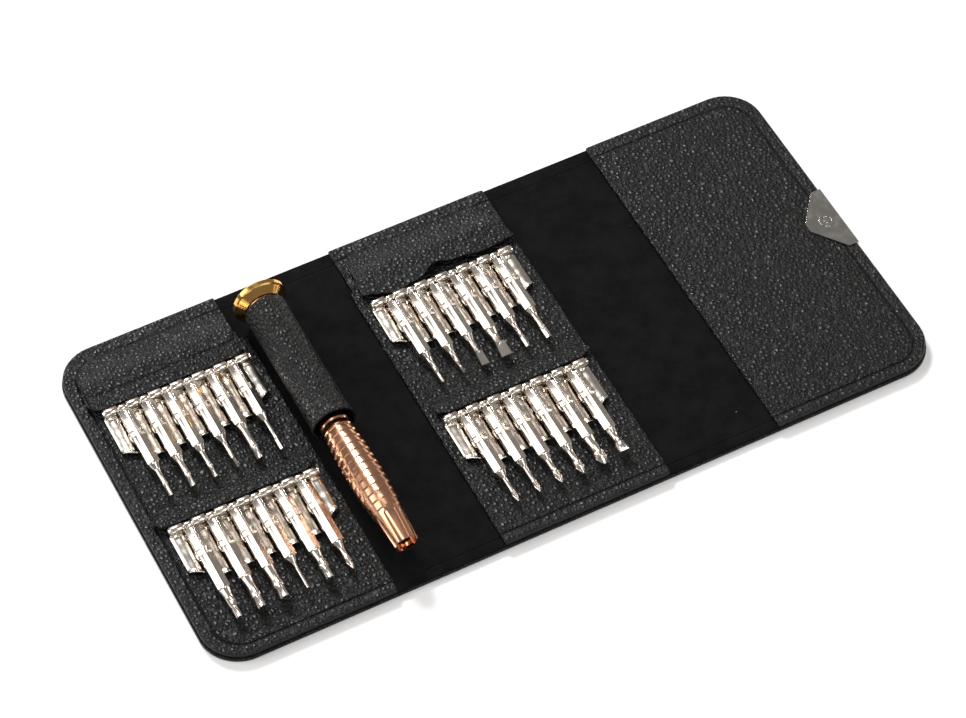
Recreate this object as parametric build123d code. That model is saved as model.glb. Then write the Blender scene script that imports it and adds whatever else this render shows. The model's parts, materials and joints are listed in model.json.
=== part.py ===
from build123d import *
import math
import os

# Precision screwdriver set in a folding leather wallet, lying open on its back.
# Frame: X across the open wallet, Y towards the end where the handle's cap is, Z up.
# Origin: middle of the open wallet's underside. Millimetres.

# ---- wallet ----
open_width = 228.0
wallet_height = 116.0
corner_radius = 12.0
cover_thickness = 1.2
lining_thickness = 0.8
facing_thickness = 1.4
flap_thickness = 0.9
border_band = 4.5          # pressed border round every leather facing
edge_inset = 0.4           # leather facings stop this short of the cover's edge
fold_gap = 0.3             # gap between neighbouring panels at a fold line

# ---- fold lines, as X ----
fold_left_panel = -55.2    # left panel to handle strip
fold_handle_strip = -48.95 # handle strip to bend
fold_bend = -34.14         # bend to centre panel
fold_closing = 32.5        # centre panel to closing spine
fold_flap = 54.5           # closing spine to closing flap

# ---- leather facings, as X ----
left_facing_end = -59.5
centre_facing_start = -26.6
centre_facing_end = 25.4
flap_facing_start = 60.0
flap_overlap = 3.6         # a flap's side stands this far inside its facing's edge
top_flap_gap = 1.2         # from a flap's free edge to the knuckles below it
low_flap_depth = 7.0

# ---- racks: pin positions and knuckles ----
left_rack_end = -62.7      # end of the left racks that is nearer the handle
centre_rack_end = -23.2    # end of the centre racks that is nearer the handle
top_row_up = {"left": 31.9, "centre": 32.0}
low_row_up = {"left": -13.1, "centre": -14.2}
bits_per_row = 6
fixed_knuckle = 4.0
swing_knuckle = 2.3
knuckle_gap = 0.25
knuckle_radius = 1.6
swing_radius = 1.4
pin_radius = 0.75
pin_clearance = 0.05
pin_head_radius = 1.15
pin_head = 0.45
plate_thickness = 0.8
tongue_width = 2.5
tongue_length = 17.0
end_tab_length = 14.5
end_tab_width = 3.4
tongue_lip = 0.5           # height of a tongue's turned-up tip
rivet_below_plate = 5.5
plate_back = 2.0           # plate runs this far below the pin before its tongues start
rivet_radius = 0.9
rivet_head_radius = 1.35
rivet_head = 0.35

# ---- clips and bits ----
hex_flats = 3.6
clip_clearance = 0.02      # between the hexagon and the clip, each side
clip_over_corner = 0.3     # clip wall left outside the hexagon's corners
clip_start = 2.4           # clip tube starts this far from its pin
clip_length = 10.0
clip_wall = 0.5
clip_slot = 1.5
clip_ear = 3.0
bit_length = 31.5
bit_chamfer = 0.3
cone_length = 2.6          # from the hexagon shank down to the neck
tip_length = 4.0           # driving tip
pin_tip_length = 7.5
resting_gap = 0.3          # under the clips, above the facing

collar_length = 3.0        # ears at the clip's open end
ear_thickness = 0.5
ear_drop = 0.9             # ears hang this far below the clip's axis
neck_side = 0.1            # neck narrower than its knuckle, each side
neck_low = 0.5             # neck reaches this far below the pin
neck_wall = 0.4            # knuckle wall that the neck keeps off the pin
cross_cut = 2.6            # length of the crossed point's cuts
cross_wall = 0.14          # share of the size left between two cuts
blade_edge = 0.5           # thickness of a slot blade's edge
blade_root = 0.8           # share of its width where a slot blade starts
lobe_depth = 0.72          # inner radius of a lobed tip, as a share of the outer one
shoulder_length = 2.2      # swelling of the neck before a lobed tip
triangle_lean = 28.0

# ---- handle ----
handle_x = -52.9
handle_axis_height = 8.7   # above the lining
handle_nose = -49.8        # Y of the nose
handle_shoulder = 41.9     # Y where the body ends and the cap's journal starts
nose_radius = 3.45
taper_length = 11.2
taper_radius = 4.5         # where the taper meets the rings
barrel_middle = 12.5       # from the start of the rings
waist_radius = 4.1         # where the rings end, just inside the sleeve
ring_count = 14
ring_depth = 0.35
grip_length = 35.7
guide_start = 14.0         # Y where the smooth part that the sleeve guides starts
guide_radius = 5.35
flute_count = 8
flute_radius = 1.4
flute_depth = 0.45
flute_stop = 1.6           # flutes end this far before the rings
socket_depth = 12.0
socket_clearance = 0.03
mouth_over_corner = 0.67   # round mouth outside the hexagon's corners
mouth_depth = 1.6
magnet_radius = 1.75
magnet_length = 3.0
sleeve_clearance = 0.2
sleeve_wall = 0.8
sleeve_bottom = -4.6
sleeve_top = 41.2
sleeve_foot = 3.2
cap_radius = 8.2
cap_neck_radius = 5.7      # underside of the cap, next to the sleeve
cap_flare = 1.9            # from the underside to where the rim is widest
cap_rim = 1.7
cap_bevel = 0.5
cap_dome_radius = 6.4
cap_height = 5.6
cap_gap = 0.25             # cap above the body's shoulder
cap_notch_depth = {"left": 2.7, "centre": 1.0}  # off a facing's end, where the cap folds past
cap_notch_margin = 1.0
journal_radius = 2.2
journal_length = 4.0
journal_bead = 0.25
journal_clearance = 0.05
axle_depth = 7.0
axle_radius = 1.6

# ---- closure ----
badge_low = -11.4
badge_high = 11.1
badge_reach = 10.6         # from the wallet's edge inwards
badge_point = 3.0          # width of the badge's blunt inner end
badge_side = 3.2           # straight part beside the wallet's edge
badge_thickness = 0.5
badge_proud = 0.25
badge_ring_outer = 2.2     # plain raised ring and dot on the badge
badge_ring_inner = 1.5
badge_ring_height = 0.3
badge_dot = 0.8
badge_fit = 0.1            # leather stays this far off the badge
closing_magnet_offset = 16.5
closing_magnet_inset = 8.5
closing_magnet_radius = 3.0
closing_magnet_thickness = 0.9
keeper_thickness = 0.5
keeper_size = (8.0, 16.0)
keeper_x = -68.2

lining_top = cover_thickness + lining_thickness
facing_top = lining_top + facing_thickness
half_height = wallet_height / 2
half_width = open_width / 2
pin_z = facing_top + knuckle_radius
hex_corner = hex_flats / 2 / math.cos(math.pi / 6)
clip_radius = hex_corner + clip_clearance + clip_over_corner
mouth_radius = hex_corner + mouth_over_corner
clip_z = facing_top + resting_gap + clip_radius
pitch = fixed_knuckle + swing_knuckle + 2 * knuckle_gap
row_length = bits_per_row * pitch + fixed_knuckle
handle_z = lining_top + handle_axis_height
barrel_radius = guide_radius  # widest part of the ringed grip
sleeve_inner = guide_radius + sleeve_clearance
sleeve_outer = sleeve_inner + sleeve_wall


def block(x0, x1, y0, y1, z0, z1):
    """A box between two corners."""
    box = Box(x1 - x0, y1 - y0, z1 - z0)
    return Pos((x0 + x1) / 2, (y0 + y1) / 2, (z0 + z1) / 2) * box


def along_y(radius, y0, y1, x=0.0, z=0.0):
    """A cylinder whose axis runs along Y."""
    rod = Cylinder(radius, y1 - y0, rotation=(90, 0, 0))
    return Pos(x, (y0 + y1) / 2, z) * rod


def along_x(radius, x0, x1, y=0.0, z=0.0):
    """A cylinder whose axis runs along X."""
    rod = Cylinder(radius, x1 - x0, rotation=(0, 90, 0))
    return Pos((x0 + x1) / 2, y, z) * rod


def raised(outline, z0, z1):
    """A flat outline in X and Y made into a slab."""
    return Pos(0, 0, z0) * extrude(outline, z1 - z0)


def wallet_outline(inset=0.0):
    """The open wallet's rounded outline."""
    width = open_width - 2 * inset
    height = wallet_height - 2 * inset
    return RectangleRounded(width, height, corner_radius - inset)


def sheet(x0, x1, z0, z1, inset=0.0):
    """One stretch of a wallet layer between two X positions."""
    layer = raised(wallet_outline(inset), z0, z1)
    window = block(x0, x1, -half_height - 1, half_height + 1, z0 - 1, z1 + 1)
    return layer & window


def badge_outline(grow=0.0):
    """A blunt wedge that points inwards from the wallet's right edge."""
    middle = (badge_low + badge_high) / 2
    inner = half_width - badge_reach - grow
    side = half_width - badge_side
    point = badge_point / 2 + grow
    corners = [
        (half_width + 1, badge_low - grow),
        (half_width + 1, badge_high + grow),
        (side, badge_high + grow),
        (inner, middle + point),
        (inner, middle - point),
        (side, badge_low - grow),
    ]
    return make_face(Polyline(*corners, close=True))


def badge_seat():
    """What the leather leaves free for the wrapped badge."""
    low = badge_thickness + badge_fit
    high = facing_top + badge_proud - badge_thickness
    edge = half_width - badge_thickness - badge_fit
    over = raised(badge_outline(badge_fit), high - badge_fit / 2, facing_top + 1)
    under = raised(badge_outline(badge_fit), -1, low + badge_fit / 2)
    side = block(edge, half_width + 1, badge_low - badge_fit, badge_high + badge_fit, -1, facing_top + 1)
    return over + under + side


def badge_plate():
    """A thin metal plate wrapped round the closing flap's edge, with plain raised rings."""
    top = facing_top + badge_proud
    solid = raised(badge_outline(), badge_fit, top)
    inner_edge = half_width - badge_thickness
    inside = (badge_fit + badge_thickness, top - badge_thickness)
    hollow = block(0, inner_edge, -half_height, half_height, *inside)
    trim = block(0, half_width, -half_height, half_height, -1, top + 1)
    plate = (solid & trim) - hollow
    middle = (badge_low + badge_high) / 2
    stud_x = half_width - badge_reach / 2.4
    ring = Cylinder(badge_ring_outer, badge_ring_height) - Cylinder(badge_ring_inner, 2 * badge_ring_height)
    ring += Cylinder(badge_dot, badge_ring_height)
    return plate + Pos(stud_x, middle, top + badge_ring_height / 3) * ring


def cover(x0, x1):
    return sheet(x0, x1, 0, cover_thickness)


def lining(x0, x1):
    return sheet(x0, x1, cover_thickness, lining_top)


def facing(x0, x1):
    return sheet(x0, x1, lining_top, facing_top, edge_inset)


def cap_notch(x0, x1):
    """A notch in a facing's end beside the cap, so that the folded panel passes it."""
    start = handle_shoulder - cap_notch_margin
    return block(x0, x1, start, half_height, lining_top, facing_top)


def shaped_flap(x0, x1, low, high, rise=0.0):
    """A leather flap over the back of a rack, with rounded lower corners.

    A rise lifts the middle of its free edge, where the leather stands off.
    """
    radius = 4.0
    middle = (x0 + x1) / 2
    edges = Polyline((x0, low + radius), (x0, high), (x1, high), (x1, low + radius))
    edges += ThreePointArc(
        (x1, low + radius), (x1 - 0.3 * radius, low + 0.3 * radius), (x1 - radius, low)
    )
    if rise:
        edges += Line((x1 - radius, low), (middle + 13, low))
        edges += Spline(
            (middle + 13, low), (middle, low + rise), (middle - 13, low),
            tangents=((-1, 0), (-1, 0)),
        )
        edges += Line((middle - 13, low), (x0 + radius, low))
    else:
        edges += Line((x1 - radius, low), (x0 + radius, low))
    edges += ThreePointArc(
        (x0 + radius, low), (x0 + 0.3 * radius, low + 0.3 * radius), (x0, low + radius)
    )
    return raised(make_face(edges), facing_top, facing_top + flap_thickness)


def flaps(side, x0, x1, rise):
    """The two flaps of one facing: top row, then lower row."""
    above = knuckle_radius + top_flap_gap
    top_low = top_row_up[side] + above
    low_low = low_row_up[side] + above
    top = shaped_flap(x0, x1, top_low, half_height - border_band, rise)
    low = shaped_flap(x0, x1, low_low, low_low + low_flap_depth)
    return top, low


def fixed_knuckle_starts():
    """Where each fixed knuckle starts, from the rack's left end."""
    return [n * pitch for n in range(bits_per_row + 1)]


def bit_places():
    """Where each swinging knuckle's middle is, from the rack's left end."""
    return [fixed_knuckle + knuckle_gap + swing_knuckle / 2 + n * pitch for n in range(bits_per_row)]


def rack_tongue(x, width, length):
    """A tongue of the rack's plate with its tip turned up a little."""
    low = -plate_back - length
    flat = block(x - width / 2, x + width / 2, low, -plate_back + 0.5, 0, plate_thickness)
    lip = block(x - width / 2, x + width / 2, low, low + 0.6, 0, plate_thickness + tongue_lip)
    return flat + lip


def rack():
    """A stamped plate with rolled knuckles along one edge and a tongue beside each bit.

    Its left end is at X 0, its pin's axis at Y 0, and its underside at Z 0.
    """
    plate = block(0, row_length, -plate_back, 0, 0, plate_thickness)
    axis = knuckle_radius
    for start in fixed_knuckle_starts():
        end = start + fixed_knuckle
        plate += along_x(knuckle_radius, start, end, 0, axis)
    for start in bit_places():
        half = swing_knuckle / 2 + knuckle_gap
        plate -= block(start - half, start + half, -plate_back + 0.1, knuckle_radius + 1, -1, 2 * axis + 1)
    for n, start in enumerate(fixed_knuckle_starts()):
        middle = start + fixed_knuckle / 2
        if n == 0:
            plate += rack_tongue(start + end_tab_width / 2, end_tab_width, end_tab_length)
        elif n == bits_per_row:
            plate += rack_tongue(start + fixed_knuckle - end_tab_width / 2, end_tab_width, end_tab_length)
        else:
            plate += rack_tongue(middle, tongue_width, tongue_length)
    plate -= along_x(pin_radius, -1, row_length + 1, 0, axis)
    for x in rivet_places():
        plate -= Pos(x, rivet_y(), 0) * Cylinder(rivet_radius, 4)
    return plate


def rivet_places():
    """Rivets sit in the two end tabs and the middle tongue, from the rack's left end."""
    middle = bits_per_row // 2 * pitch + fixed_knuckle / 2
    return [end_tab_width / 2, middle, row_length - end_tab_width / 2]


def rivet_y():
    return -plate_back - rivet_below_plate


def rivets():
    """Tubular rivets that hold one rack down through the facing."""
    shank = facing_thickness + plate_thickness
    group = []
    for x in rivet_places():
        stem = Cylinder(rivet_radius, shank, align=(Align.CENTER, Align.CENTER, Align.MIN))
        head = Cylinder(rivet_head_radius, rivet_head, align=(Align.CENTER, Align.CENTER, Align.MIN))
        rivet = Pos(0, 0, -facing_thickness) * stem + Pos(0, 0, plate_thickness) * head
        group.append(Pos(x, rivet_y(), 0) * rivet)
    return group


def rivet_holes(x, y):
    """Holes through a facing for one rack's rivets."""
    hole = Cylinder(rivet_radius, 6)
    return Compound([Pos(x + place, y + rivet_y(), lining_top) * hole for place in rivet_places()])


def rack_pin():
    """The pin through one rack's knuckles, with a small head at each end."""
    pin = along_x(pin_radius, -pin_head, row_length + pin_head)
    left_head = along_x(pin_head_radius, -pin_head, 0)
    right_head = along_x(pin_head_radius, row_length, row_length + pin_head)
    return pin + left_head + right_head


def hexagon(flats):
    """A hexagon that stands on one of its corners."""
    return RegularPolygon(flats / 2 / math.cos(math.pi / 6), 6, rotation=30)


def clip():
    """A sheet clip that swings on its rack's pin and grips one bit's hexagon.

    Its pin's axis is the origin, and the bit runs along -Y.
    """
    half = swing_knuckle / 2
    rise = clip_z - pin_z
    back = -clip_start
    tube = along_y(clip_radius, back - clip_length, back, 0, rise)
    grip = clip_hexagon(hex_flats + 2 * clip_clearance, back - clip_length - 1, back - clip_wall)
    tube -= grip
    tube -= block(-clip_slot / 2, clip_slot / 2, back - clip_length - 1, back - clip_wall, rise, rise + 4)
    ear_low = back - clip_length
    ears = block(
        -clip_ear, clip_ear, ear_low, ear_low + collar_length, rise - ear_drop, rise - ear_drop + ear_thickness
    )
    ears -= along_y(clip_radius - 0.2, ear_low - 1, ear_low + 4, 0, rise)
    neck = block(-half + neck_side, half - neck_side, back - 0.3, -pin_radius - neck_wall, -neck_low, rise + 0.2)
    knuckle = along_x(swing_radius, -half, half)
    body = knuckle + neck + tube + ears
    return body - along_x(pin_radius + pin_clearance, -5, 5)


def clip_hexagon(flats, y0, y1):
    """The bit's hexagon between two Y positions, on the clip's axis."""
    prism = extrude(Plane.XZ * hexagon(flats), -(y1 - y0))
    return Pos(0, y0, clip_z - pin_z) * prism


def turned(points):
    """A solid turned about -Y from (distance from the bit's back, radius) points."""
    outline = [(0, 0)] + [(radius, -along) for along, radius in points]
    outline.append((0, -points[-1][0]))
    profile = make_face(Polyline(*outline, close=True))
    return revolve(profile, Axis.Y)


def tip_outline(lobes, size):
    """A driving tip's section: a star with rounded-off lobes, or a plain polygon."""
    points = []
    for n in range(2 * lobes):
        radius = size / 2 if n % 2 == 0 else size / 2 * lobe_depth
        angle = math.pi * n / lobes
        points.append((radius * math.cos(angle), radius * math.sin(angle)))
    return make_face(Polyline(*points, close=True))


def prism_tip(outline, start, end):
    """A tip's section carried from one distance to another along the bit."""
    return Pos(0, -start, 0) * extrude(Plane.XZ * outline, end - start)


def cross_cuts(size, start):
    """Four wedges that leave a crossed point."""
    cuts = []
    for n in range(4):
        wedge = Box(size, 6.0, size, align=(Align.MIN, Align.MAX, Align.MIN))
        wedge = Pos(size * cross_wall, -start, size * cross_wall) * wedge
        cuts.append(Rot(0, 90 * n, 0) * wedge)
    return cuts


def slot_blade(width, start, end):
    """A flat blade that narrows from round to a thin edge."""
    root = Plane.XZ.offset(start) * Rectangle(width * blade_root, width * blade_root)
    edge = Plane.XZ.offset(end) * Rectangle(width, blade_edge)
    return loft([root, edge])


def bit(kind, size, shank, neck):
    """One bit: a hexagon shank, a cone down to a neck, and its driving tip.

    Its back is at Y 0 and it runs along -Y.
    """
    prism = extrude(Plane.XZ * hexagon(hex_flats), shank)
    prism -= chamfer_ring()
    cone_end = shank + cone_length
    tip_start = bit_length - (pin_tip_length if kind == "pin" else tip_length)
    neck_radius = neck / 2
    root = hex_flats / 2
    body = turned([(shank - 1, root), (shank, root), (cone_end, neck_radius), (tip_start, neck_radius)])
    made = prism + body
    if kind == "cross":
        head = turned([(tip_start - 1, neck_radius), (tip_start, size / 2),
                       (bit_length - 2.2, size / 2), (bit_length, size * 0.12)])
        made += head
        for wedge in cross_cuts(size, bit_length - cross_cut):
            made -= wedge
        return made
    if kind == "slot":
        return made + slot_blade(size, tip_start - 0.6, bit_length)
    if kind == "triangle":
        made += turned([(tip_start - 1, neck_radius), (tip_start, size / 2), (bit_length - 1, size / 2)])
        cut = Pos(0, -bit_length, size * 0.75) * Rot(triangle_lean, 0, 0) * Box(6, 9, size)
        return made - cut
    if kind == "pin":
        return made + turned([(tip_start - 1, neck_radius), (bit_length, size / 2)])
    lobes = {"star": 6, "five_lobe": 5, "tri_lobe": 3, "hex": 6}[kind]
    outline = hexagon(size * 0.9) if kind == "hex" else tip_outline(lobes, size)
    swell = tip_start - shoulder_length
    made += turned([(swell, neck_radius), (tip_start - 0.6, size / 2), (tip_start + 0.4, size / 2)])
    return made + prism_tip(outline, tip_start, bit_length)


def chamfer_ring():
    """What a small chamfer takes off the back of a hexagon, at Y 0."""
    edge = hex_corner - bit_chamfer
    corners = [(edge, 0), (hex_corner + 1, 0), (hex_corner + 1, -bit_chamfer - 1)]
    return revolve(make_face(Polyline(*corners, close=True)), Axis.Y)


bit_rows = {
    # name of the row: (tip, tip size, shank length, neck diameter) from left to right
    "left_top": [
        ("five_lobe", 1.6, 19.6, 1.5), ("star", 2.0, 20.0, 1.9), ("star", 1.7, 19.8, 1.6),
        ("tri_lobe", 1.3, 19.6, 1.3), ("star", 2.4, 18.4, 2.2), ("hex", 1.5, 18.2, 1.4),
    ],
    "left_low": [
        ("star", 2.4, 21.4, 2.6), ("star", 3.1, 20.6, 2.6), ("star", 3.4, 20.4, 2.9),
        ("pin", 0.9, 20.4, 1.0), ("star", 3.0, 21.6, 2.4), ("cross", 1.9, 22.0, 1.7),
    ],
    "centre_top": [
        ("five_lobe", 1.4, 20.2, 1.7), ("tri_lobe", 1.2, 21.0, 1.6), ("slot", 2.4, 20.0, 1.9),
        ("slot", 3.3, 21.0, 2.6), ("hex", 1.4, 20.2, 1.5), ("hex", 1.9, 20.0, 1.8),
    ],
    "centre_low": [
        ("cross", 1.4, 20.6, 1.3), ("cross", 1.6, 19.8, 1.4), ("cross", 2.1, 21.0, 1.8),
        ("cross", 2.6, 21.2, 2.0), ("cross", 3.5, 21.4, 2.8), ("triangle", 3.4, 21.8, 2.2),
    ],
}


def bit_in_clip(kind, size, shank, neck):
    """A clip and the bit that it holds, as two solids about the clip's pin."""
    rise = clip_z - pin_z
    held = Pos(0, -clip_start - clip_wall - 0.05, rise) * bit(kind, size, shank, neck)
    return [clip(), held]


def grip_radius(along):
    """Radius of the ringed grip at a distance from the start of its rings."""
    if along < barrel_middle:
        share = 1 - along / barrel_middle
        return barrel_radius - (barrel_radius - taper_radius) * share ** 2
    share = (along - barrel_middle) / (grip_length - barrel_middle)
    return barrel_radius - (barrel_radius - waist_radius) * share ** 2


def flute(angle):
    """One concave flute that thins the taper's wall towards the nose."""
    grip_start = handle_nose + taper_length
    middle = (handle_nose + grip_start) / 2
    lean = math.degrees(math.atan2(taper_radius - nose_radius, taper_length))
    reach = (nose_radius + taper_radius) / 2 + flute_radius - flute_depth
    groove = along_y(flute_radius, handle_nose - flute_radius, grip_start - flute_stop)
    groove += Pos(0, grip_start - flute_stop, 0) * Sphere(flute_radius)
    groove = Pos(0, middle, reach) * Rot(lean, 0, 0) * Pos(0, -middle, 0) * groove
    return Rot(0, angle, 0) * groove


def handle_body():
    """The turned grip: sawtooth rings on a barrel, a fluted taper to the nose, and a bit socket."""
    ring = grip_length / ring_count
    grip_start = handle_nose + taper_length
    points = [(0, handle_nose), (nose_radius, handle_nose), (taper_radius - ring_depth, grip_start)]
    for n in range(ring_count):
        start = n * ring
        points.append((grip_radius(start), grip_start + start + 0.15 * ring))
        points.append((grip_radius(start + ring) - ring_depth, grip_start + start + ring))
    points += [
        (guide_radius, guide_start), (guide_radius, handle_shoulder), (0, handle_shoulder),
    ]
    body = revolve(make_face(Polyline(*points, close=True)), Axis.Y)
    for n in range(flute_count):
        body -= flute(360 / flute_count * (n + 0.5))
    body -= along_y(mouth_radius, handle_nose - 1, handle_nose + mouth_depth)
    socket = extrude(Plane.XZ * hexagon(hex_flats + 2 * socket_clearance), -socket_depth)
    body -= Pos(0, handle_nose, 0) * socket
    magnet_end = handle_nose + socket_depth + magnet_length
    body -= along_y(magnet_radius, handle_nose + socket_depth - 0.5, magnet_end)
    body -= along_y(axle_radius, handle_shoulder - axle_depth, handle_shoulder + 1)
    return body


def socket_magnet():
    """The magnet at the bottom of the bit socket."""
    start = handle_nose + socket_depth
    return along_y(magnet_radius, start, start + magnet_length)


def cap_axle():
    """A pin pressed into the body. The cap spins on its journal, held by a bead."""
    low = handle_shoulder - axle_depth
    top = handle_shoulder + cap_gap + journal_length
    bead = handle_shoulder + cap_gap + journal_length / 2
    points = [
        (0, low), (axle_radius, low), (axle_radius, handle_shoulder),
        (journal_radius, handle_shoulder), (journal_radius, bead - journal_bead),
        (journal_radius + journal_bead, bead), (journal_radius, bead + journal_bead),
        (journal_radius, top), (0, top),
    ]
    return revolve(make_face(Polyline(*points, close=True)), Axis.Y)


def handle_cap():
    """The spinning palm rest: a wide flanged rim with a stepped dome above it."""
    low = handle_shoulder + cap_gap
    top = low + cap_height
    bore = journal_radius + journal_clearance
    deep = low + journal_length + journal_clearance
    bead = low + journal_length / 2
    groove = journal_bead + journal_clearance
    rim = low + cap_flare
    points = [
        (bore, low), (cap_neck_radius, low), (cap_radius - cap_bevel, rim - cap_bevel / 2),
        (cap_radius, rim), (cap_radius, rim + cap_rim - cap_bevel), (cap_radius - cap_bevel, rim + cap_rim),
        (cap_dome_radius, rim + cap_rim + 0.2), (cap_dome_radius - 0.4, rim + cap_rim + 0.9),
        (cap_dome_radius - 1.4, top - 0.4), (cap_dome_radius - 3.4, top), (0, top),
        (0, deep), (bore, deep), (bore, bead + groove), (bore + journal_bead, bead), (bore, bead - groove),
    ]
    return revolve(make_face(Polyline(*points, close=True)), Axis.Y)


def handle_sleeve():
    """A leather tube round the upper half of the grip, on a stitched foot."""
    tube = along_y(sleeve_outer, sleeve_bottom, sleeve_top, handle_x, handle_z)
    foot = block(
        handle_x - sleeve_foot / 2, handle_x + sleeve_foot / 2,
        sleeve_bottom, sleeve_top, lining_top, handle_z - sleeve_inner,
    )
    bore = along_y(sleeve_inner, sleeve_bottom - 1, sleeve_top + 1, handle_x, handle_z)
    return tube + foot - bore


def closing_magnets():
    """Disc magnets in the closing flap's edge, under its facing."""
    middle = (badge_low + badge_high) / 2
    half = closing_magnet_thickness / 2
    discs = []
    for offset in (-closing_magnet_offset, closing_magnet_offset):
        disc = Cylinder(closing_magnet_radius, closing_magnet_thickness)
        discs.append(Pos(half_width - closing_magnet_inset, middle + offset, lining_top + half) * disc)
    return discs


def keeper_plate():
    """The steel plate in the left panel that the closing magnets reach when shut."""
    width, height = keeper_size
    z0 = cover_thickness
    return block(keeper_x - width / 2, keeper_x + width / 2, -height - 8, height + 8,
                 z0, z0 + keeper_thickness)


def handle_part(shape):
    """A handle piece carried from the Y axis to the handle's place."""
    return Pos(handle_x, 0, handle_z) * shape


def rack_left_end(side):
    """X of a rack's left end."""
    return left_rack_end - row_length if side == "left" else centre_rack_end


def add_panel_layers(nodes):
    """Outer cover and suede lining of each stretch of the wallet."""
    half = fold_gap / 2
    stretches = {
        "left": (-half_width, fold_left_panel - half),
        "handle_strip": (fold_left_panel + half, fold_handle_strip - half),
        "bend": (fold_handle_strip + half, fold_bend - half),
        "centre": (fold_bend + half, fold_closing - half),
        "closing_spine": (fold_closing + half, fold_flap - half),
        "closing_flap": (fold_flap + half, half_width),
    }
    for name, (x0, x1) in stretches.items():
        nodes[name + "_cover"] = cover(x0, x1)
        nodes[name + "_lining"] = lining(x0, x1)
    nodes["left_lining"] -= keeper_plate()
    nodes["closing_flap_cover"] -= badge_seat()
    nodes["closing_flap_lining"] -= badge_seat()


def add_facings(nodes):
    """Leather facings with their flaps, rivet holes and magnet seats."""
    left = facing(-half_width, left_facing_end)
    left -= cap_notch(left_facing_end - cap_notch_depth["left"], left_facing_end)
    centre = facing(centre_facing_start, centre_facing_end)
    centre -= cap_notch(centre_facing_start, centre_facing_start + cap_notch_depth["centre"])
    closing = facing(flap_facing_start, half_width) - badge_seat()
    for disc in closing_magnets():
        closing -= disc
    spans = {
        "left": (-half_width + border_band, left_facing_end - flap_overlap, 0.0, left),
        "centre": (centre_facing_start + flap_overlap, centre_facing_end - flap_overlap, 2.4, centre),
    }
    for side, (x0, x1, rise, panel) in spans.items():
        end = rack_left_end(side)
        for up in (top_row_up[side], low_row_up[side]):
            panel -= rivet_holes(end, up)
        top, low = flaps(side, x0, x1, rise)
        nodes[side + "_facing"] = panel
        nodes[side + "_top_flap"] = top
        nodes[side + "_low_flap"] = low
    nodes["closing_flap_facing"] = closing


def add_racks(nodes):
    """Racks with their pins and rivets, then each bit in its clip."""
    for side in ("left", "centre"):
        end = rack_left_end(side)
        pins = []
        fasteners = []
        for row, up in (("top", top_row_up[side]), ("low", low_row_up[side])):
            nodes[f"{side}_{row}_rack"] = Pos(end, up, facing_top) * rack()
            pins.append(Pos(end, up, pin_z) * rack_pin())
            fasteners += [Pos(end, up, facing_top) * rivet for rivet in rivets()]
            kinds = bit_rows[f"{side}_{row}"]
            for n, (place, spec) in enumerate(zip(bit_places(), kinds)):
                pair = [Pos(end + place, up, pin_z) * piece for piece in bit_in_clip(*spec)]
                nodes[f"{side}_{row}_{n + 1}_{spec[0]}_bit_in_clip"] = Compound(pair)
        nodes[side + "_rack_pins"] = Compound(pins)
        nodes[side + "_rack_rivets"] = Compound(fasteners)


def add_handle(nodes):
    nodes["handle_sleeve"] = handle_sleeve()
    nodes["handle_body"] = handle_part(handle_body())
    nodes["socket_magnet"] = handle_part(socket_magnet())
    nodes["cap_axle"] = handle_part(cap_axle())
    nodes["handle_cap"] = handle_part(handle_cap())


def add_closure(nodes):
    nodes["badge_plate"] = badge_plate()
    nodes["closing_magnets"] = Compound(closing_magnets())
    nodes["keeper_plate"] = keeper_plate()


def build():
    nodes = {}
    add_panel_layers(nodes)
    add_facings(nodes)
    add_racks(nodes)
    add_handle(nodes)
    add_closure(nodes)
    return nodes


os.makedirs("parts", exist_ok=True)
for node, shape in build().items():
    export_step(shape, f"parts/{node}.step")
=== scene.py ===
import bmesh
import bpy
import json
import math
from mathutils import Matrix, Vector, noise


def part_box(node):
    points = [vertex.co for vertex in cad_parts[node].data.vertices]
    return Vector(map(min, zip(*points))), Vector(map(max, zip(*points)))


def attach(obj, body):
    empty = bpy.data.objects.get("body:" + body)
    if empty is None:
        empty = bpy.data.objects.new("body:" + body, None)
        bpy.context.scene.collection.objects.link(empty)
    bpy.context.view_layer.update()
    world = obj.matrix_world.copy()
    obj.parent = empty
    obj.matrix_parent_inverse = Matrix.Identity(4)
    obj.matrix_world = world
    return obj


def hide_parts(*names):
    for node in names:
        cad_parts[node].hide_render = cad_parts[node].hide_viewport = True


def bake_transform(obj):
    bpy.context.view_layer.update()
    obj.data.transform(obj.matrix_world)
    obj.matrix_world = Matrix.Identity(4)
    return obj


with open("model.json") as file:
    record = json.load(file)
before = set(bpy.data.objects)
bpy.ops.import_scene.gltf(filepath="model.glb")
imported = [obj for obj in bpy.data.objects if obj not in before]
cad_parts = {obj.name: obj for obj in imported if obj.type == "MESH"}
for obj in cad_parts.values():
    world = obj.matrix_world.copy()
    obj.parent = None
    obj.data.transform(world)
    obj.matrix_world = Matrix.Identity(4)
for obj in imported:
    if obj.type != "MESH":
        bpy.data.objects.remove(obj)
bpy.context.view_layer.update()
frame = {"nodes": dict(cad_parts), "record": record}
mm = 0.001

print("frame loaded:", len(frame["nodes"]), "nodes")


def lowHigh(node):
    # corners of a node's box in millimetres
    low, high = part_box(node)
    return low / mm, high / mm


wallet = {
    "right": lowHigh("closing_flap_cover")[1].x,
    "half": lowHigh("centre_cover")[1].y,
    "corner": 12.0,
    "coverTop": lowHigh("centre_cover")[1].z,
    "liningTop": lowHigh("centre_lining")[1].z,
    "facingTop": lowHigh("centre_facing")[1].z,
    # the pressed line's distance from each edge
    "bandTop": 5.0, "bandLow": 3.3, "bandSide": 4.2, "bandCorner": 8.0,
}


def addObject(name, data):
    made = bpy.data.objects.new(name, data)
    bpy.context.scene.collection.objects.link(made)
    return made


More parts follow.
